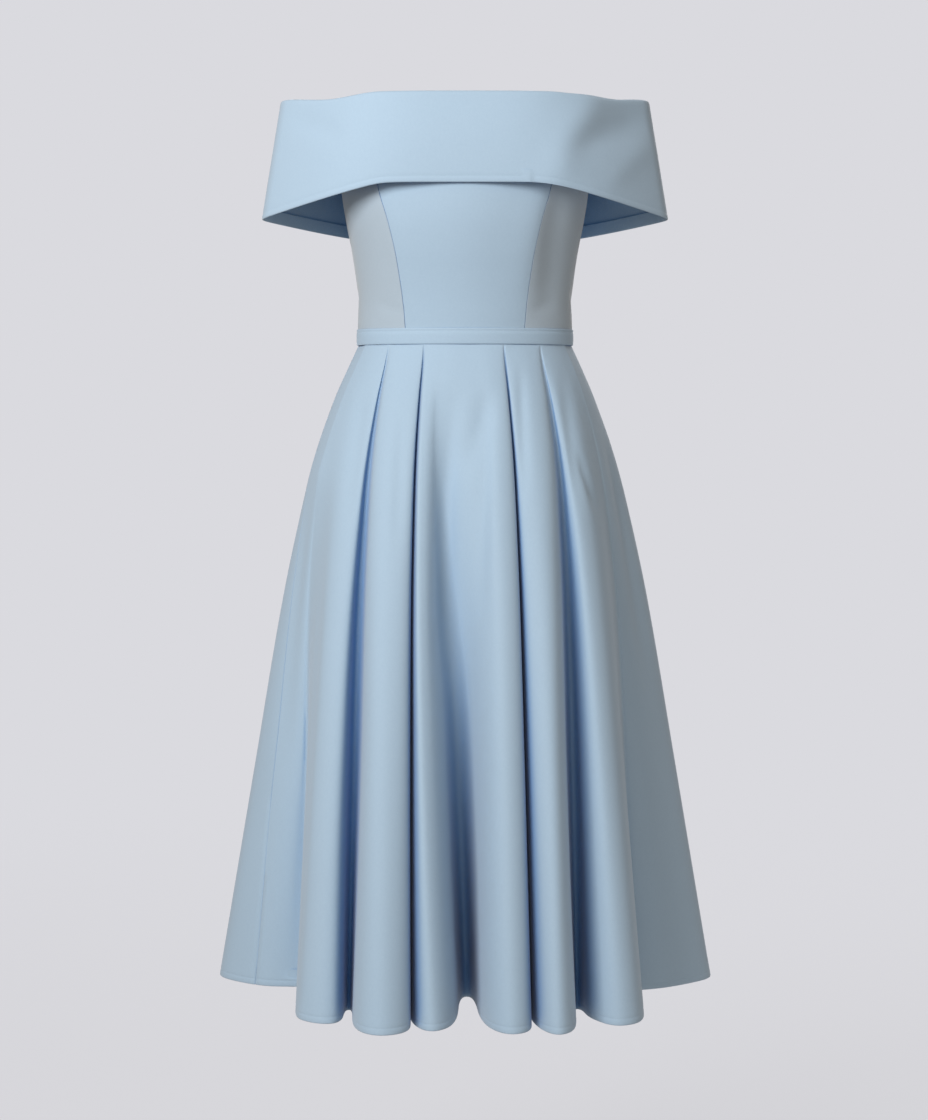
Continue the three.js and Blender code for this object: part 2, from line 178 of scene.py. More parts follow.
def turned_edges(rows, depth):
    """A panel's rows with both upright edges turned in, as at a pressed-open seam."""
    normals = outward_normals(rows)
    first = rows[:, :1] * (1 - EDGE_ROLL) + rows[:, 1:2] * EDGE_ROLL
    last = rows[:, -1:] * (1 - EDGE_ROLL) + rows[:, -2:-1] * EDGE_ROLL
    left = rows[:, :1] - normals[:, :1] * depth
    right = rows[:, -1:] - normals[:, -1:] * depth
    return np.concatenate([left, first, rows[:, 1:-1], last, right], axis=1)


def add_node(tree, kind, links=None, **settings):
    """Adds a node, sets what is named in settings on it or its sockets, and links its inputs."""
    node = tree.nodes.new(kind)
    for name, value in settings.items():
        if name in node.inputs:
            node.inputs[name].default_value = value
        else:
            setattr(node, name, value)
    for name, source in (links or {}).items():
        tree.links.new(source, node.inputs[name])
    return node


def colour(code):
    """A colour from its sRGB hex code, as linear light."""
    parts = [int(code[i : i + 2], 16) / 255 for i in (1, 3, 5)]
    return [p / 12.92 if p <= 0.04045 else ((p + 0.055) / 1.055) ** 2.4 for p in parts] + [1]


# The real yarns are about 0.2 mm apart and are drawn at 0.9 mm, the finest that shows. Slubs, the
# thicker places in a yarn, come about every 2.4 mm, and the dye drifts over some 11 cm.
YARN_SPACING = 0.9
SLUBS_PER_METRE = 420
DRIFTS_PER_METRE = 9
UNEVEN_DYE = 0.35
# The deep navy of the painted shade in folds and other hidden places.
PAINTED_SHADE_COLOUR = "#2573b4"


def make_crepe(name, dyes, bloom, reach):
    """Crepe with a smooth satin side: fine twisted yarns give it a dry, even surface with a soft
    bloom where it turns away. Painted shade darkens the dye toward a deep navy inside folds and other
    hidden places; reach says how far the test for such places looks, in metres."""
    material = bpy.data.materials.new(name)
    material.use_nodes = True
    tree = material.node_tree
    tree.nodes.clear()
    place = add_node(tree, "ShaderNodeTexCoord")
    apart = add_node(tree, "ShaderNodeSeparateXYZ", {"Vector": place.outputs["UV"]})
    yarn = 2 * math.pi / (YARN_SPACING * MM)
    turns = []
    for way in ("X", "Y"):
        scaled = add_node(tree, "ShaderNodeMath", {0: apart.outputs[way]}, operation="MULTIPLY")
        scaled.inputs[1].default_value = yarn
        turns.append(add_node(tree, "ShaderNodeMath", {0: scaled.outputs[0]}, operation="SINE"))
    weave = add_node(
        tree, "ShaderNodeMath", {0: turns[0].outputs[0], 1: turns[1].outputs[0]}, operation="MULTIPLY"
    )
    where = {"Vector": place.outputs["Object"]}
    slubs = add_node(
        tree, "ShaderNodeTexNoise", where, Scale=SLUBS_PER_METRE, Detail=3, Roughness=0.6
    )
    drift = add_node(
        tree, "ShaderNodeTexNoise", where, Scale=DRIFTS_PER_METRE, Detail=2, Roughness=0.5
    )
    dye = add_node(tree, "ShaderNodeMix", data_type="RGBA")
    tree.links.new(slubs.outputs["Fac"], dye.inputs[0])
    dye.inputs[6].default_value = colour(dyes[0])
    dye.inputs[7].default_value = colour(dyes[1])
    worn = add_node(tree, "ShaderNodeMix", data_type="RGBA", blend_type="MULTIPLY")
    worn.inputs[0].default_value = UNEVEN_DYE
    tree.links.new(dye.outputs[2], worn.inputs[6])
    shade = add_node(tree, "ShaderNodeMapRange", {"Value": drift.outputs["Fac"]})
    shade.inputs["To Min"].default_value = 0.93
    shade.inputs["To Max"].default_value = 1.0
    tree.links.new(shade.outputs[0], worn.inputs[7])
    # Painted shade: how open each place is, where seven tenths of a free view count as open.
    openness = add_node(tree, "ShaderNodeAmbientOcclusion", samples=6)
    openness.inputs["Distance"].default_value = reach
    lit = add_node(tree, "ShaderNodeMapRange", {"Value": openness.outputs["AO"]})
    lit.inputs["From Max"].default_value = 0.7
    shaded_dye = add_node(tree, "ShaderNodeMix", data_type="RGBA")
    shaded_dye.inputs[6].default_value = colour(PAINTED_SHADE_COLOUR)
    tree.links.new(lit.outputs[0], shaded_dye.inputs[0])
    tree.links.new(worn.outputs[2], shaded_dye.inputs[7])
    rough = add_node(tree, "ShaderNodeMapRange", {"Value": drift.outputs["Fac"]})
    rough.inputs["To Min"].default_value = 0.68
    rough.inputs["To Max"].default_value = 0.82
    fine = add_node(
        tree, "ShaderNodeBump", {"Height": weave.outputs[0]}, Strength=0.25, Distance=0.00008
    )
    grain = add_node(
        tree,
        "ShaderNodeBump",
        {"Height": slubs.outputs["Fac"], "Normal": fine.outputs[0]},
        Strength=0.3,
        Distance=0.0002,
    )
    cloth = add_node(tree, "ShaderNodeBsdfPrincipled")
    cloth.inputs["Sheen Weight"].default_value = 0.4
    cloth.inputs["Sheen Roughness"].default_value = 0.5
    cloth.inputs["Sheen Tint"].default_value = colour(bloom)
    cloth.inputs["Specular IOR Level"].default_value = 0.3
    cloth.inputs["IOR"].default_value = 1.5
    tree.links.new(shaded_dye.outputs[2], cloth.inputs["Base Color"])
    tree.links.new(rough.outputs[0], cloth.inputs["Roughness"])
    tree.links.new(grain.outputs[0], cloth.inputs["Normal"])
    add_node(tree, "ShaderNodeOutputMaterial", {"Surface": cloth.outputs[0]})
    return material


# The collar stands off the arms, so the painted shade inside it looks for hidden places over a wider
# space.
collar_crepe = make_crepe("collar_crepe", ("#a5bdd2", "#aec5d8"), "#f6faff", 0.11)


# Two faces of a sheet that meet at more than this many degrees show an edge.
SHARP_EDGE = 50


def sew_sheet(name, rows, thickness, node, material):
    """A piece of cloth from its outer face's rows, in millimetres, given its thickness inwards. It
    takes the place of the CAD node and lies in the real frame, in metres."""
    count, width = rows.shape[:2]
    index = np.arange(count * width).reshape(count, width)
    faces = np.stack([index[:-1, :-1], index[1:, :-1], index[1:, 1:], index[:-1, 1:]], axis=-1)
    mesh = bpy.data.meshes.new(name)
    mesh.from_pydata((rows.reshape(-1, 3) * MM).tolist(), [], faces.reshape(-1, 4).tolist())
    middle = count // 2
    run = np.linalg.norm(np.diff(rows[middle], axis=0), axis=1)
    across = np.concatenate([[0], np.cumsum(run)]) * MM
    fall = np.linalg.norm(np.diff(rows, axis=0), axis=2).mean(axis=1)
    down = np.concatenate([[0], np.cumsum(fall)]) * MM
    grid = np.stack(np.meshgrid(across, down), axis=-1).reshape(-1, 2)
    layer = mesh.uv_layers.new(name="grain")
    corner = np.zeros(len(mesh.loops), int)
    mesh.loops.foreach_get("vertex_index", corner)
    layer.data.foreach_set("uv", grid[corner].ravel())
    piece = bpy.data.objects.new(name, mesh)
    bpy.context.scene.collection.objects.link(piece)
    bpy.ops.object.select_all(action="DESELECT")
    piece.select_set(True)
    bpy.context.view_layer.objects.active = piece
    wall = piece.modifiers.new("cloth thickness", "SOLIDIFY")
    wall.thickness = thickness * MM
    wall.offset = -1
    bpy.ops.object.modifier_apply(modifier=wall.name)
    bpy.ops.object.shade_smooth_by_angle(angle=math.radians(SHARP_EDGE))
    piece.data.materials.append(material)
    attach(piece, "root")
    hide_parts(node)
    return piece


def collar_top_height(x, y):
    """The height of the top edge: level, with a shallow dip toward each side of the front."""
    near = 1 - np.abs(np.abs(x) - COLLAR_DIP["at"]) / COLLAR_DIP["reach"]
    return COLLAR_TOP["height"] - np.where(y < 0, COLLAR_DIP["depth"] * smooth(near), 0)


def collar_edge_height(x, y):
    """The height of the lower edge: it climbs from the tips at the arms to a level stretch in front,
    and falls behind."""
    height = np.zeros(len(x))
    for part, form in ((y < 0, COLLAR_CLIMB), (y >= 0, COLLAR_FALL)):
        most, slope, soft = abs(form["most"]), abs(form["slope"]), form["softness"]

        def climbed(come_in):
            return most - soft * np.log1p(np.exp((most - slope * come_in) / soft))

        rise = climbed(COLLAR_EDGE["half_width"] - np.abs(x[part])) - climbed(0)
        height[part] = COLLAR_TIP + np.sign(form["slope"]) * rise
    return height


collar_half = [(p["across"], p["ahead"]) for p in COLLAR_PLAN]
collar_plan = soft_row(collar_half + [(-a, b) for a, b in reversed(collar_half)], COLLAR_SAMPLES)


def collar_ring(size):
    """The collar seen from above, at the size of its top or its lower edge."""
    depth = np.where(collar_plan[:, 1] > 0, size["front"], size["back"])
    return np.stack([size["half_width"] * collar_plan[:, 0], -depth * collar_plan[:, 1]], axis=1)


collar_above = collar_ring(COLLAR_TOP)
collar_below = collar_ring(COLLAR_EDGE)
collar_high = collar_top_height(collar_above[:, 0], collar_above[:, 1])
collar_low = collar_edge_height(collar_below[:, 0], collar_below[:, 1])


def collar_row(height, inside=0.0):
    """The collar's closed row at a height of each point, moved inside its outer face."""
    level = (height - collar_low) / (collar_high - collar_low)
    plan = collar_below + (collar_above - collar_below) * level[:, None]
    bulge = COLLAR_BULGE * np.sin(np.pi * np.clip(level, 0, 1)) * collar_plan[:, 1]
    row = np.stack([plan[:, 0], plan[:, 1] - bulge, height], axis=1)
    return row + inward(row) * inside


def sew_collar():
    middle = np.linspace(0, 1, COLLAR_HANGING_ROWS + 2)[1:-1]
    top = [collar_row(collar_high - p["down"], p["inside"]) for p in COLLAR_TOP_FOLD]
    start = collar_high - COLLAR_TOP_FOLD[-1]["down"]
    end = collar_low + COLLAR_LOWER_EDGE[0]["up"]
    hang = [collar_row(start + (end - start) * t) for t in middle]
    edge = [collar_row(collar_low + p["up"], p["inside"]) for p in COLLAR_LOWER_EDGE]
    rows = pressed(np.array(top + hang + edge), COLLAR_CREASES)
    turn = next(i for i, p in enumerate(COLLAR_PLAN) if p["ahead"] < 0) * COLLAR_SAMPLES
    behind = len(COLLAR_PLAN) * COLLAR_SAMPLES
    rows = np.concatenate([rows, rows[:, :1]], axis=1)
    front = np.concatenate([rows[:, -1 - turn : -1], rows[:, : turn + 1]], axis=1)
    left = rows[:, turn : behind + 1]
    right = rows[:, behind : len(collar_plan) - turn + 1]
    for name, part, node, width in (
        ("collar_front_cloth", front, "collar_front", 0.6),
        ("collar_back_left_cloth", left, "collar_back_left", 0.3),
        ("collar_back_right_cloth", right, "collar_back_right", 0.3),
    ):
        part = turned_edges(part, COLLAR_SEAM)
        sew_sheet(name, part, COLLAR_CLOTH, node, material=collar_crepe)


sew_collar()

# Bodice: a centre front, two side fronts and two backs of woven crepe, cut on princess lines and
# stitched with their edges turned to the inside, so each seam shows as a fine groove. The top edge is
# sewn under the collar's inner layer, and the princess seams stand out as soft ridges.
BODICE_SECTIONS = [
    dict(height=9.3, half_width=123.5, front=91, back=83, flat=1, princess=67, ridge=0.5),
    dict(height=42, half_width=122.8, front=96, back=87, flat=0.95, princess=70, ridge=2),
    dict(height=70, half_width=125.6, front=102, back=91, flat=0.9, princess=74, ridge=3.2),
    dict(height=98, half_width=129.8, front=109, back=95, flat=0.85, princess=79, ridge=4),
    dict(height=130, half_width=136, front=115, back=98, flat=0.79, princess=87, ridge=4),
    dict(height=161, half_width=140.8, front=116.5, back=99.5, flat=0.73, princess=96, ridge=2.8),
    dict(height=200, half_width=144, front=114, back=99.5, flat=0.66, princess=103, ridge=1),
    dict(height=252, half_width=147, front=111, back=99, flat=0.6, princess=107, ridge=0),
]
BODICE_COLUMNS = dict(side=24, centre=44, back=40)
BODICE_ROWS = 49
BODICE_CLOTH = 1.1
BODICE_SEAM = 1.1
RIDGE_WIDTH = 28
TUCKED_BEHIND_WAISTBAND = 5
UNDERARM = 196
JOINED_FROM = 200
# The top edge ends this far below the rim of the collar's inner layer. The collar's place is taken
# from a row a little below the rim, inside its outer face, and behind, the edge climbs to it from the
# underarm over a share of the back.
BELOW_RIM = 0.6
COLLAR_TAKEN = dict(below_rim=0.3, inside=2.1)
BACK_CLIMB = 0.45
BODICE_CREASES = [
    dict(seen="front", ends=[[-96, 150], [-88, 60]], width=9, depth=0.8),
    dict(seen="front", ends=[[98, 150], [88, 70]], width=9, depth=1.0),
    dict(seen="front", ends=[[112, 215], [88, 2]], width=15, depth=5, bow=-3),
    dict(seen="front", ends=[[-104, 40], [-60, 22]], width=6, depth=0.7),
    dict(seen="front", ends=[[106, 44], [70, 24]], width=6, depth=0.8),
    dict(seen="back", ends=[[-70, 60], [-10, 28]], width=8, depth=1.2, bow=2),
    dict(seen="back", ends=[[72, 66], [14, 30]], width=8, depth=1.2, bow=-2),
    dict(seen="left", ends=[[-30, 60], [20, 26]], width=7, depth=1.0),
    dict(seen="right", ends=[[-26, 64], [18, 30]], width=7, depth=1.0),
]

crepe = make_crepe("satin_backed_crepe", ("#a3bbd0", "#acc3d6"), "#f0f6ff", 0.035)
# The side fronts get a greyer copy of the crepe with a warmer sheen tint: a painted sheen for the grey
# they throw back where they turn from the light.
painted_sheen_crepe = make_crepe("crepe_with_painted_sheen", ("#a7b8c6", "#b0bfcc"), "#fffaf4", 0.035)


def along(table, key, column, at):
    """A column of a table at a place along its key column, on a smooth curve through the rows."""
    last = len(table) - 2
    row = next((i - 1 for i, line in enumerate(table) if line[key] > at), last)
    row = max(0, row)

    def slope(n):
        a, b = table[max(0, n - 1)], table[min(last + 1, n + 1)]
        return (b[column] - a[column]) / (b[key] - a[key])

    a, b = table[row], table[row + 1]
    span = b[key] - a[key]
    t = min(1.0, max(0.0, (at - a[key]) / span))
    ends = a[column] + (b[column] - a[column]) * t * t * (3 - 2 * t)
    return ends + span * t * (1 - t) * (slope(row) * (1 - t) - slope(row + 1) * t)


def bodice_rows():
    """The bodice's closed rows from the top edge down, starting at the wearer's right side seam."""
    side, centre, back = (BODICE_COLUMNS[k] for k in ("side", "centre", "back"))
    left_side, around = side * 2 + centre, side * 2 + centre + back * 2
    taken = collar_high - COLLAR_RIM - COLLAR_TAKEN["below_rim"]
    hanging = collar_row(taken, COLLAR_TAKEN["inside"])
    measures = [name for name in BODICE_SECTIONS[0] if name != "height"]

    def point(column, height):
        size = {name: along(BODICE_SECTIONS, "height", name, height) for name in measures}
        seam = math.asin(size["princess"] / size["half_width"])
        quarter = math.pi / 2
        stops = [0, side, side + centre, left_side, around]
        angle = np.interp(column, stops, [-quarter, -seam, seam, quarter, 3 * quarter])
        cos = math.cos(angle)
        depth = size["front"] if cos > 0 else size["back"]
        y = -depth * math.copysign(abs(cos) ** size["flat"], cos)
        x = size["half_width"] * math.sin(angle)
        if cos > 0:
            y -= size["ridge"] * math.exp(-(((abs(x) - size["princess"]) / RIDGE_WIDTH) ** 2))
        return [x, y, height]

    columns = []
    for column in range(around):
        high = point(column, BODICE_SECTIONS[-1]["height"])
        aside = (
            min(column, left_side - column) / side
            if column < left_side
            else min(column - left_side, around - column) / (back * BACK_CLIMB)
        )
        joined = smooth(aside)
        facing = hanging[(hanging[:, 1] > 0) == (high[1] > 0)]
        facing = facing[np.argsort(facing[:, 0])]
        under_rim = float(collar_top_height(high[0], high[1])) - COLLAR_RIM - BELOW_RIM
        top = UNDERARM + (under_rim - UNDERARM) * joined
        moved = joined * (np.interp(high[0], facing[:, 0], facing[:, 1]) - high[1])
        line = []
        for share in np.linspace(0, 1, BODICE_ROWS):
            x, y, z = point(column, top + (TUCKED_BEHIND_WAISTBAND - top) * share)
            line.append([x, y + moved * smooth((z - JOINED_FROM) / (under_rim - JOINED_FROM)), z])
        columns.append(line)
    return np.array(columns).transpose(1, 0, 2)


def sew_bodice():
    side, centre, back = (BODICE_COLUMNS[k] for k in ("side", "centre", "back"))
    left_side, around = side * 2 + centre, side * 2 + centre + back * 2
    rows = pressed(bodice_rows(), BODICE_CREASES)
    rows = np.concatenate([rows, rows[:, :1]], axis=1)
    for name, start, end, width, area, cloth in (
        ("side_front_right", 0, side, 0.14, 0.025, painted_sheen_crepe),
        ("centre_front", side, side + centre, 0.22, 0.046, crepe),
        ("side_front_left", side + centre, left_side, 0.14, 0.025, painted_sheen_crepe),
        ("back_left", left_side, left_side + back, 0.24, 0.045, crepe),
        ("back_right", left_side + back, around, 0.24, 0.045, crepe),
    ):
        part = turned_edges(rows[:, start : end + 1], BODICE_SEAM)
        name, node = f"bodice_{name}_cloth", f"bodice_{name}"
        sew_sheet(name, part, BODICE_CLOTH, node, material=cloth)


sew_bodice()

# Waistband: a doubled strip of the same crepe, a front and two backs, stitched over the raw edges of
# bodice and skirt, so it stands a little proud and its two long edges are rolled.
WAISTBAND = dict(half_width=124.7, front=92.2, back=84.2)
WAISTBAND_CLOTH = 0.7
WAISTBAND_SEAM = 0.5
WAISTBAND_STEPS = 240
WAISTBAND_ROWS = [
    dict(height=7.4, inside=1.25),
    dict(height=8.6, inside=0.95),
    dict(height=9, inside=0.45),
    dict(height=8.6, inside=0.1),
    dict(height=7.4, inside=0),
    dict(height=6.3, inside=0.3),
    dict(height=5.5, inside=0.35),
    dict(height=4.7, inside=0),
    dict(height=2, inside=-0.2),
    dict(height=-2, inside=-0.2),
    dict(height=-5.6, inside=-0.1),
    dict(height=-7.6, inside=0),
    dict(height=-8.6, inside=0.15),
    dict(height=-9, inside=0.5),
    dict(height=-8.6, inside=0.95),
    dict(height=-7.4, inside=1.25),
]


def sew_waistband():
    angles = np.radians(np.linspace(-90, 270, WAISTBAND_STEPS + 1))
    cos = np.cos(angles)
    depth = np.where(cos > 0, WAISTBAND["front"], WAISTBAND["back"])
    across = WAISTBAND["half_width"] * np.sin(angles)
    ring = np.stack([across, -depth * cos, np.zeros(len(angles))], axis=1)
    closed = np.concatenate([inward(ring[:-1]), inward(ring[:-1])[:1]])
    rows = np.array([ring + closed * p["inside"] + [0, 0, p["height"]] for p in WAISTBAND_ROWS])
    left_side, centre_back = WAISTBAND_STEPS // 2, WAISTBAND_STEPS * 3 // 4
    for name, start, end, width in (
        ("front", 0, left_side, 0.35),
        ("back_left", left_side, centre_back, 0.17),
        ("back_right", centre_back, WAISTBAND_STEPS, 0.17),
    ):
        part = turned_edges(rows[:, start : end + 1], WAISTBAND_SEAM)
        name, node = f"waistband_{name}_cloth", f"waistband_{name}"
        sew_sheet(name, part, WAISTBAND_CLOTH, node, crepe)


sew_waistband()

# Skirt: one wide front and two backs of crepe, laid in soft unpressed pleats under the waistband. They
# open into deep round folds at the hem, which is turned up inside and stitched a few millimetres
# above its edge.
SKIRT_SECTIONS = [
    dict(drop=0, half_width=123.5, front=91, back=83),
    dict(drop=30, half_width=137.5, front=104, back=98),
    dict(drop=60, half_width=151, front=117, back=113),
    dict(drop=118, half_width=172, front=140, back=137),
    dict(drop=176, half_width=188, front=159, back=155),
    dict(drop=291, half_width=213, front=190, back=185),
    dict(drop=465, half_width=242.5, front=228, back=220),
    dict(drop=734, half_width=287, front=278, back=266),
]
SKIRT_TOP = -9.3
SKIRT_LENGTH = SKIRT_SECTIONS[-1]["drop"]
SKIRT_CLOTH = 0.7
SKIRT_SEAM = 1.1
# The top row is tucked up behind the waistband. Below it the rows lie close together where the pleats
# open, and then evenly down to the hem.
SKIRT_TUCK = 5
PLEATED_ROWS = [0, 2, 4, 7, 10, 14, 18, 23, 28, 34, 40, 47, 54, 62, 70, 79, 88, 98, 108]
HANGING_ROWS = dict(first=119, last=722, count=54)
CLOSED_AT_WAIST = 0.3
SKIRT_SAMPLES = 8
CORNERS_PER_FOLD = 5
# Each row is one fold and the valley after it: steering places at the hem [x, forward], half the
# valley's width, the same places round the waist in degrees, where down the skirt the valley starts,
# how soon it swings and deepens, and how many degrees its lips stand apart half way down. A soft
# valley gives its own half width round the waist, in degrees, as closed.
FOLDS = [
    dict(name="right side", left=[-246, -62], ridge=[-302, -4], right=[-240, 58], valley=[-184, 62],
         gap=8, waist=[-112, -98, -86, -66], start=0.2, ease=0.5, grow=0.85, open=0),
    dict(name="front 1", left=[-192, 206], ridge=[-161, 242], right=[-133, 238], valley=[-128, 176],
         gap=4, waist=[-63, -55, -45.4, -44.6], start=0, ease=0.5, grow=0.65, open=1.8),
    dict(name="front 2", left=[-121, 268], ridge=[-90, 300], right=[-53, 272], valley=[-66, 190],
         gap=1.5, waist=[-43.8, -33, -22.8, -22.1], start=0, ease=0.55, grow=0.6, open=0),
    dict(name="front 3", left=[-53.5, 259], ridge=[-32, 280], right=[-8, 242], valley=[2, 112],
         gap=8, waist=[-21.4, -18.6, -15.6, -9.4], start=0.06, ease=1, grow=0.8, open=0, closed=3.2),
    dict(name="front 4", left=[17, 242], ridge=[44, 294], right=[76, 272], valley=[66, 190],
         gap=1.5, waist=[7.5, 13.5, 20.3, 21], start=0, ease=0.42, grow=0.6, open=0),
    dict(name="front 5", left=[77, 260], ridge=[98, 296], right=[121, 268], valley=[124, 172],
         gap=4, waist=[21.7, 33, 43, 44.1], start=0, ease=0.45, grow=0.65, open=1.7),
    dict(name="front 6", left=[135, 216], ridge=[164, 258], right=[202, 222], valley=[192, 80],
         gap=7, waist=[45.2, 54, 62, 66], start=0.04, ease=0.33, grow=0.85, open=0),
    dict(name="left side", left=[240, 62], ridge=[302, 4], right=[246, -58], valley=[188, -78],
         gap=7, waist=[86, 98, 110, 114], start=0.1, ease=0.5, grow=0.85, open=0),
    dict(name="back 1", left=[192, -170], ridge=[168, -222], right=[138, -232], valley=[128, -168],
         gap=4, waist=[118, 126, 135.2, 136], start=0, ease=0.6, grow=0.65, open=0.8),
    dict(name="back 2", left=[122, -246], ridge=[92, -278], right=[57, -266], valley=[68, -190],
         gap=2.5, waist=[136.8, 147, 157.3, 158], start=0, ease=0.45, grow=0.6, open=0.3),
    dict(name="centre back", left=[54.5, -256], ridge=[0, -288], right=[-52, -266], valley=[-64, -190],
         gap=2.5, waist=[158.7, 180, 201.3, 202], start=0, ease=0.45, grow=0.6, open=0.3),
    dict(name="back 3", left=[-57, -256], ridge=[-94, -282], right=[-120, -250], valley=[-127, -172],
         gap=4, waist=[202.7, 213, 223.3, 224], start=0, ease=0.55, grow=0.65, open=0.7),
    dict(name="back 4", left=[-136, -234], ridge=[-166, -218], right=[-192, -160], valley=[-186, -82],
         gap=7, waist=[224.7, 234, 242, 246], start=0.05, ease=0.55, grow=0.85, open=0),
]
SKIRT_CREASES = [
    dict(seen="front", ends=[[30, -40], [16, -330]], width=9, depth=3.5, bow=4),
    dict(seen="front", ends=[[62, -20], [66, -190]], width=6, depth=2.5),
    dict(seen="front", ends=[[-150, -60], [-198, -860]], width=11, depth=4.5, bow=4),
    dict(seen="front", ends=[[-9, -36], [-24, -420]], width=10, depth=4.6, bow=5),
    dict(seen="front", ends=[[26, -54], [-4, -160]], width=11, depth=4, bow=-3),
    dict(seen="front", ends=[[126, -128], [152, -206]], width=4, depth=2.8),
    dict(seen="front", ends=[[-108, -30], [-132, -230]], width=9, depth=2.5, bow=3),
    dict(seen="front", ends=[[-70, -60], [-76, -260]], width=7, depth=1.8),
    dict(seen="front", ends=[[110, -24], [128, -210]], width=8, depth=2.5),
    dict(seen="back", ends=[[30, -30], [40, -360]], width=10, depth=5, bow=4),
    dict(seen="back", ends=[[-30, -40], [-26, -280]], width=9, depth=4, bow=-3),
    dict(seen="back", ends=[[-116, -110], [-144, -210]], width=6, depth=3.5),
    dict(seen="back", ends=[[92, -60], [104, -300]], width=9, depth=3),
    dict(seen="left", ends=[[-20, -60], [-36, -420]], width=14, depth=4, bow=4),
    dict(seen="left", ends=[[30, -110], [48, -520]], width=12, depth=3.5),
    dict(seen="right", ends=[[16, -70], [40, -460]], width=14, depth=4, bow=-4),
    dict(seen="right", ends=[[-36, -140], [-52, -560]], width=12, depth=3.5),
]
# The outer face's rows near the hem, then the turned-up part: distance up, and how far inside.
HEM = [
    dict(up=9.2, inside=0),
    dict(up=7.8, inside=0.12),
    dict(up=7, inside=0.3),
    dict(up=6.2, inside=0.12),
    dict(up=4.6, inside=0),
    dict(up=1.3, inside=0.08),
    dict(up=0.4, inside=0.3),
    dict(up=0, inside=0.75),
    dict(up=0.4, inside=1.25),
    dict(up=1.3, inside=1.5),
    dict(up=20, inside=1.55),
]


def fold_corners(share):
    """The steering polygon of one section, in shares of the section's half sizes."""
    hem = SKIRT_SECTIONS[-1]
    corners = []
    for index, fold in enumerate(FOLDS):
        before = FOLDS[index - 1]
        left, ridge, right, valley = fold["waist"]
        x, forward = fold["valley"]
        half = math.copysign(fold["gap"], fold["right"][1])
        closed = fold.get("closed", CLOSED_AT_WAIST)
        # Each corner's place at the hem and round the waist, the fold that opens it, and which way.
        for place, waist, owner, lip in (
            (fold["left"], left, before, 1),
            (fold["ridge"], ridge, fold, 0),
            (fold["right"], right, fold, -1),
            ([x - half, forward], valley - closed, fold, -0.5),
            ([x + half, forward], valley + closed, fold, 0.5),
        ):
            across = place[0] / hem["half_width"]
            ahead = place[1] / (hem["front"] if place[1] > 0 else hem["back"])
            turned = math.degrees(math.atan2(across, ahead))
            at_hem = turned + 360 if turned < waist - 180 else turned
            opened = lip * owner["open"] * math.sin(math.pi * share)
            angle = math.radians(waist + (at_hem - waist) * share ** owner["ease"] + opened)
            growth = min(1, max(0, (share - owner["start"]) / (1 - owner["start"]))) ** owner["grow"]
            radius = 1 + (math.hypot(across, ahead) - 1) * growth
            corners.append((radius * math.sin(angle), radius * math.cos(angle)))
    return corners


def skirt_row(drop):
    """The skirt's closed row at a distance below its top."""
    size = {k: along(SKIRT_SECTIONS, "drop", k, drop) for k in ("half_width", "front", "back")}
    curve = soft_row(fold_corners(drop / SKIRT_LENGTH), SKIRT_SAMPLES)
    depth = np.where(curve[:, 1] > 0, size["front"], size["back"])
    height = np.full(len(curve), SKIRT_TOP - drop)
    return np.stack([size["half_width"] * curve[:, 0], -depth * curve[:, 1], height], axis=1)


def seam_column(fold, place):
    """The column of the skirt's rows at the middle of a fold's corner."""
    index = next(i for i, row in enumerate(FOLDS) if row["name"] == fold)
    corner = index * CORNERS_PER_FOLD + ["left", "ridge", "right"].index(place)
    return corner * SKIRT_SAMPLES + SKIRT_SAMPLES // 2


def sew_skirt():
    waist = skirt_row(0) + [0, 0, SKIRT_TUCK]
    hanging = np.linspace(HANGING_ROWS["first"], HANGING_ROWS["last"], HANGING_ROWS["count"])
    outer = np.array([waist] + [skirt_row(drop) for drop in PLEATED_ROWS + list(hanging)])
    closed = np.concatenate([outer, outer[:, :1]], axis=1)
    closed = pressed(closed, SKIRT_CREASES)
    hem = []
    for p in HEM:
        row = skirt_row(SKIRT_LENGTH - p["up"])
        row = row + inward(row) * p["inside"]
        hem.append(np.concatenate([row, row[:1]]))
    rows = np.concatenate([closed, np.array(hem)])
    right = seam_column("right side", "right")
    left = seam_column("left side", "ridge")
    back = seam_column("centre back", "ridge")
    around = rows[:, :-1]
    count = around.shape[1]
    for name, start, end, flat, area in (
        ("front", right, left, (1.8, 0.79), 0.8),
        ("back_left", left, back, (0.73, 0.79), 0.35),
        ("back_right", back, right, (0.8, 0.79), 0.385),
    ):
        stop = end + 1 if end > start else end + 1 + count
        part = turned_edges(around[:, np.arange(start, stop) % count], SKIRT_SEAM)
        name, node = f"skirt_{name}_cloth", f"skirt_{name}"
        sew_sheet(name, part, SKIRT_CLOTH, node, crepe)


sew_skirt()

# Zip: a closed zip inside the centre back seam, from the top of the bodice over the waist to the hip.
# Two woven tapes are stitched behind the seam, a moulded nylon coil is sewn along their meeting edges,
# and the slider waits at the top with its pull hanging down inside.
ZIP_TAPE = dict(width=11.7, thickness=0.5, behind=2.3, end=-214, from_seam=0.3, columns=7)
ZIP_COIL = dict(pitch=1.5, tooth=0.82, half_width=2.2, thickness=1.1, clear=0.1, down=2, shorter=4)
ZIP_SLIDER = dict(width=5.2, length=8, thickness=2.4, rounding=0.7, down=6)
ZIP_PULL = dict(width=3.4, length=20, thickness=0.9, rounding=0.35, clear=0.05, overlap=3)
METRE = 1000
# Two faces of a metal block that meet at more than this many degrees show an edge.
SHARP_METAL_EDGE = 40
# The seam's neighbourhood: columns at each side of it, and rows over the skirt's part.
SEAM_COLUMNS = 8
SEAM_ROWS = 24
# The gloss varies over about 1.1 mm, by this much of roughness to each side.
GLOSS_GRAINS_PER_METRE = 900
GLOSS_SPREAD = 0.08


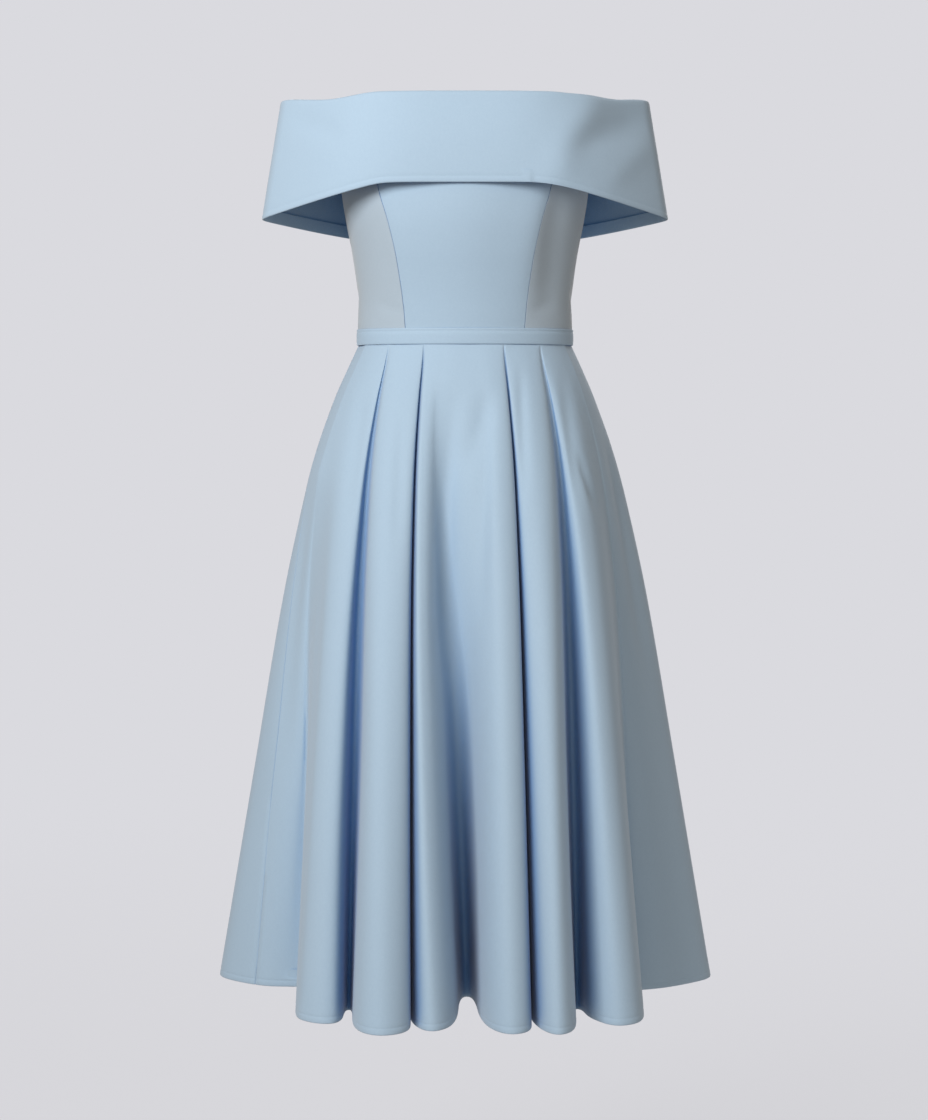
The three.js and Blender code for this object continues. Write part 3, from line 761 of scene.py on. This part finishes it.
def make_zip_material(name, code, roughness, metallic):
    """An even colour with fine unevenness in its gloss: dull on woven tape, brighter on moulded nylon,
    and brightest on painted metal."""
    material = bpy.data.materials.new(name)
    material.use_nodes = True
    tree = material.node_tree
    tree.nodes.clear()
    place = add_node(tree, "ShaderNodeTexCoord")
    where = {"Vector": place.outputs["Object"]}
    grain = add_node(tree, "ShaderNodeTexNoise", where, Scale=GLOSS_GRAINS_PER_METRE, Detail=2)
    gloss = add_node(tree, "ShaderNodeMapRange", {"Value": grain.outputs["Fac"]})
    gloss.inputs["To Min"].default_value = roughness - GLOSS_SPREAD
    gloss.inputs["To Max"].default_value = roughness + GLOSS_SPREAD
    height = {"Height": grain.outputs["Fac"]}
    relief = add_node(tree, "ShaderNodeBump", height, Strength=0.2, Distance=0.0001)
    finish = add_node(
        tree, "ShaderNodeBsdfPrincipled", {"Roughness": gloss.outputs[0], "Normal": relief.outputs[0]}
    )
    finish.inputs["Base Color"].default_value = colour(code)
    finish.inputs["Metallic"].default_value = metallic
    add_node(tree, "ShaderNodeOutputMaterial", {"Surface": finish.outputs[0]})
    return material


def seam_faces():
    """The centre back seam's neighbourhood, row by row from the top: the outer face's points there."""
    middle = BODICE_COLUMNS["side"] * 2 + BODICE_COLUMNS["centre"] + BODICE_COLUMNS["back"]
    back = seam_column("centre back", "ridge")
    bodice = [row[middle - SEAM_COLUMNS : middle + SEAM_COLUMNS + 1] for row in bodice_rows()]
    drops = np.linspace(0, -ZIP_TAPE["end"] + SKIRT_TOP, SEAM_ROWS)
    skirt = [skirt_row(drop)[back - SEAM_COLUMNS : back + SEAM_COLUMNS + 1] for drop in drops]
    return bodice + skirt


def add_block(name, form, centre):
    """A small metal block of the zip with rounded edges, round its centre."""
    bpy.ops.object.select_all(action="DESELECT")
    bpy.ops.mesh.primitive_cube_add(size=1, location=[c * MM for c in centre])
    block = bpy.context.object
    block.name = name
    block.scale = [form[side] * MM for side in ("width", "thickness", "length")]
    bpy.ops.object.transform_apply(location=True, rotation=False, scale=True)
    edges = block.modifiers.new("rounded edges", "BEVEL")
    edges.width = form["rounding"] * MM
    edges.segments = 3
    bpy.ops.object.modifier_apply(modifier=edges.name)
    bpy.ops.object.shade_smooth_by_angle(angle=math.radians(SHARP_METAL_EDGE))
    return block


def finish_hard(piece, material):
    """Gives a hard piece of the zip its material, and the place of the CAD's zip."""
    piece.data.materials.append(material)
    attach(piece, "root")
    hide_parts("zip")


def sew_zip():
    tape = make_zip_material("woven_zip_tape", "#a9bfd8", 0.8, 0)
    coil = make_zip_material("moulded_nylon_coil", "#9fb6cf", 0.35, 0)
    metal = make_zip_material("painted_zip_metal", "#a4bad2", 0.3, 0.1)
    faces = seam_faces()
    behind = ZIP_TAPE["behind"]

    def face_at(x):
        line = []
        for face in faces:
            order = np.argsort(face[:, 0])
            line.append([x, np.interp(x, face[order, 0], face[order, 1]) - behind, face[0, 2]])
        return np.array(line)

    inner = ZIP_TAPE["from_seam"]
    outer = inner + ZIP_TAPE["width"]
    thickness = ZIP_TAPE["thickness"]
    for name, near, far in (("left", outer, inner), ("right", -inner, -outer)):
        rows = np.stack([face_at(x) for x in np.linspace(near, far, ZIP_TAPE["columns"])], axis=1)
        sew_sheet(f"zip_tape_{name}", rows, thickness, "zip", tape)

    seam = face_at(0.0)
    seam[:, 1] -= thickness + ZIP_COIL["thickness"] / 2 + ZIP_COIL["clear"]
    run = np.concatenate([[0], np.cumsum(np.linalg.norm(np.diff(seam, axis=0), axis=1))])
    bpy.ops.object.select_all(action="DESELECT")
    bpy.ops.mesh.primitive_uv_sphere_add(segments=8, ring_count=6, radius=MM / 2)
    teeth = bpy.context.object
    teeth.name = "zip_coil"
    tooth = ZIP_COIL["pitch"] * ZIP_COIL["tooth"]
    teeth.scale = (ZIP_COIL["half_width"] * 2, ZIP_COIL["thickness"], tooth)
    bpy.ops.object.transform_apply(location=False, rotation=False, scale=True)
    repeat = teeth.modifiers.new("teeth", "ARRAY")
    repeat.use_relative_offset = False
    repeat.use_constant_offset = True
    repeat.constant_offset_displace = (0, 0, -ZIP_COIL["pitch"] * MM)
    repeat.count = int((run[-1] - ZIP_COIL["shorter"]) / ZIP_COIL["pitch"])
    bpy.ops.object.modifier_apply(modifier=repeat.name)
    bpy.ops.object.shade_smooth()
    for vertex in teeth.data.vertices:
        at = ZIP_COIL["down"] - vertex.co.z * METRE
        y, z = np.interp(at, run, seam[:, 1]), np.interp(at, run, seam[:, 2])
        vertex.co = (vertex.co.x, vertex.co.y + y * MM, z * MM)
    finish_hard(teeth, coil)

    top = seam[0] + [0, -ZIP_COIL["thickness"] / 2, -ZIP_SLIDER["down"]]
    finish_hard(add_block("zip_slider", ZIP_SLIDER, top), metal)
    behind_slider = -ZIP_SLIDER["thickness"] / 2 - ZIP_PULL["thickness"] / 2 - ZIP_PULL["clear"]
    hang = top + [0, behind_slider, -ZIP_PULL["length"] / 2 + ZIP_PULL["overlap"]]
    finish_hard(add_block("zip_pull", ZIP_PULL, hang), metal)


sew_zip()

# Studio: a wide pale floor some way below the hem, as far as a standing wearer's feet, which fades
# into the pale surroundings at its rim.
# Its sizes, the lamps' and the camera's are in metres.
FLOOR = dict(height=-1.12, radius=6, fade_from=0.4, fade_to=4.0)


def make_floor():
    bpy.ops.object.select_all(action="DESELECT")
    bpy.ops.mesh.primitive_circle_add(
        vertices=96, radius=FLOOR["radius"], fill_type="NGON", location=(0, 0, 0)
    )
    floor = bpy.context.object
    floor.name = "studio_floor"
    floor.data.transform(floor.matrix_world)
    floor.data.transform(Matrix.Translation((0, 0, FLOOR["height"])))
    material = bpy.data.materials.new("painted_studio_floor")
    material.use_nodes = True
    tree = material.node_tree
    tree.nodes.clear()
    place = add_node(tree, "ShaderNodeTexCoord")
    reach = add_node(tree, "ShaderNodeVectorMath", {0: place.outputs["Object"]}, operation="LENGTH")
    fade = add_node(tree, "ShaderNodeMapRange", {"Value": reach.outputs["Value"]})
    fade.interpolation_type = "SMOOTHSTEP"
    fade.inputs["From Min"].default_value = FLOOR["fade_from"]
    fade.inputs["From Max"].default_value = FLOOR["fade_to"]
    fade.inputs["To Min"].default_value = 0.8
    fade.inputs["To Max"].default_value = 1.0
    paint = add_node(tree, "ShaderNodeBsdfPrincipled", Roughness=0.9)
    paint.inputs["Base Color"].default_value = colour("#dcdce1")
    clear = add_node(tree, "ShaderNodeBsdfTransparent")
    mixed = add_node(
        tree, "ShaderNodeMixShader", {0: fade.outputs[0], 1: paint.outputs[0], 2: clear.outputs[0]}
    )
    add_node(tree, "ShaderNodeOutputMaterial", {"Surface": mixed.outputs[0]})
    floor.data.materials.append(material)


make_floor()

# Light: pale even surroundings, a soft square lamp high at the left in front, a weak one straight
# ahead, a little light thrown up from the floor at the right, and a wide one high up behind.
LAMPS = [
    dict(name="key_light", place=(-1.2, -1.95, 1.05), size=1.1, power=57),
    dict(name="front_fill", place=(0.0, -4.2, 0.3), size=1.4, power=11),
    dict(name="floor_bounce", place=(1.7, -1.1, -0.75), size=1.0, power=4),
    dict(name="back_light", place=(0.9, 3.4, 1.3), size=1.8, power=62),
]
LAMPS_AIM = (0, 0, 0.1)


def light_studio():
    world = bpy.data.worlds.new("pale_studio")
    world.use_nodes = True
    tree = world.node_tree
    tree.nodes.clear()
    place = add_node(tree, "ShaderNodeTexCoord")
    apart = add_node(tree, "ShaderNodeSeparateXYZ", {"Vector": place.outputs["Generated"]})
    side = add_node(tree, "ShaderNodeMapRange", {"Value": apart.outputs["X"]})
    # The surroundings are a little brighter at the left.
    side.inputs["From Min"].default_value = -1
    side.inputs["From Max"].default_value = 1
    side.inputs["To Min"].default_value = 0.28
    side.inputs["To Max"].default_value = 0.27
    fill = add_node(tree, "ShaderNodeBackground", {"Strength": side.outputs[0]})
    fill.inputs["Color"].default_value = colour("#fff4e8")
    seen = add_node(tree, "ShaderNodeBackground")
    seen.inputs["Color"].default_value = colour("#dadadf")
    path = add_node(tree, "ShaderNodeLightPath")
    shown = {0: path.outputs["Is Camera Ray"], 1: fill.outputs[0], 2: seen.outputs[0]}
    mixed = add_node(tree, "ShaderNodeMixShader", shown)
    add_node(tree, "ShaderNodeOutputWorld", {"Surface": mixed.outputs[0]})
    bpy.context.scene.world = world
    for lamp in LAMPS:
        light = bpy.data.lights.new(lamp["name"], "AREA")
        light.shape = "SQUARE"
        light.size = lamp["size"]
        light.energy = lamp["power"]
        holder = bpy.data.objects.new(lamp["name"], light)
        bpy.context.scene.collection.objects.link(holder)
        holder.location = lamp["place"]
        aim = Vector(LAMPS_AIM) - holder.location
        holder.rotation_euler = aim.to_track_quat("-Z", "Y").to_euler()


light_studio()

# Camera: a long lens three metres in front of the dress, a little below its waist and tipped down
# slightly, which gives the photo's perspective.
CAMERA = dict(place=(-0.0011, -3.0, -0.0758), tipped_down=3.45, lens=83.35, sensor=36, reach=60)


def place_camera():
    camera = bpy.data.cameras.new("camera")
    holder = bpy.data.objects.new("camera", camera)
    bpy.context.scene.collection.objects.link(holder)
    camera.sensor_fit = "VERTICAL"
    camera.sensor_height = CAMERA["sensor"]
    camera.lens = CAMERA["lens"]
    camera.clip_end = CAMERA["reach"]
    holder.location = CAMERA["place"]
    holder.rotation_euler = (math.radians(90 - CAMERA["tipped_down"]), 0, 0)
    bpy.context.scene.camera = holder


place_camera()
scene = bpy.context.scene
scene.view_settings.view_transform = "Standard"
scene.view_settings.look = "None"
scene.cycles.use_denoising = True
